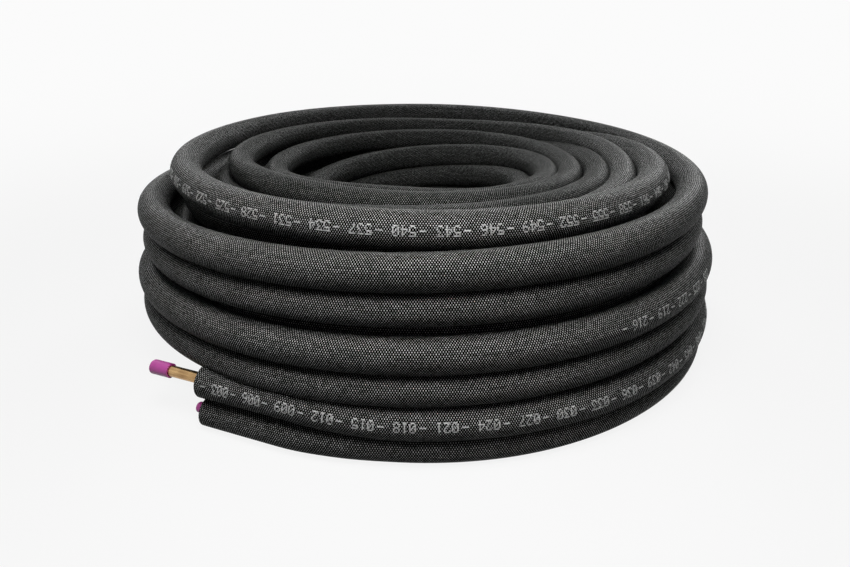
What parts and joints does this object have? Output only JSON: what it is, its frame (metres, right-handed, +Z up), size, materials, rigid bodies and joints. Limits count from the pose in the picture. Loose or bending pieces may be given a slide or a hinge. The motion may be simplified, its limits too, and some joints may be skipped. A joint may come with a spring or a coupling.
{
  "type": "insulated copper tube coil",
  "caption": "Free-standing coil of twin foam-insulated copper tube, wound in nested turns round an open bore, with capped ends.",
  "frame": {"origin": "on the coil axis, at the floor the coil stands on", "axes": "+Z up along the coil axis, -Y towards the side seen in the picture, +X to its right"},
  "size_m": [0.5996, 0.5996, 0.1978],
  "materials": {
    "foam": "embossed film over closed-cell foam, near black",
    "copper": "drawn copper, lightly brushed",
    "cap": "soft moulded plastic, pink"
  },
  "bodies": {
    "root": {"insulation": "foam", "gas_tube": "copper", "liquid_tube": "copper", "gas_caps": "cap", "liquid_caps": "cap"}
  },
  "joints": []
}
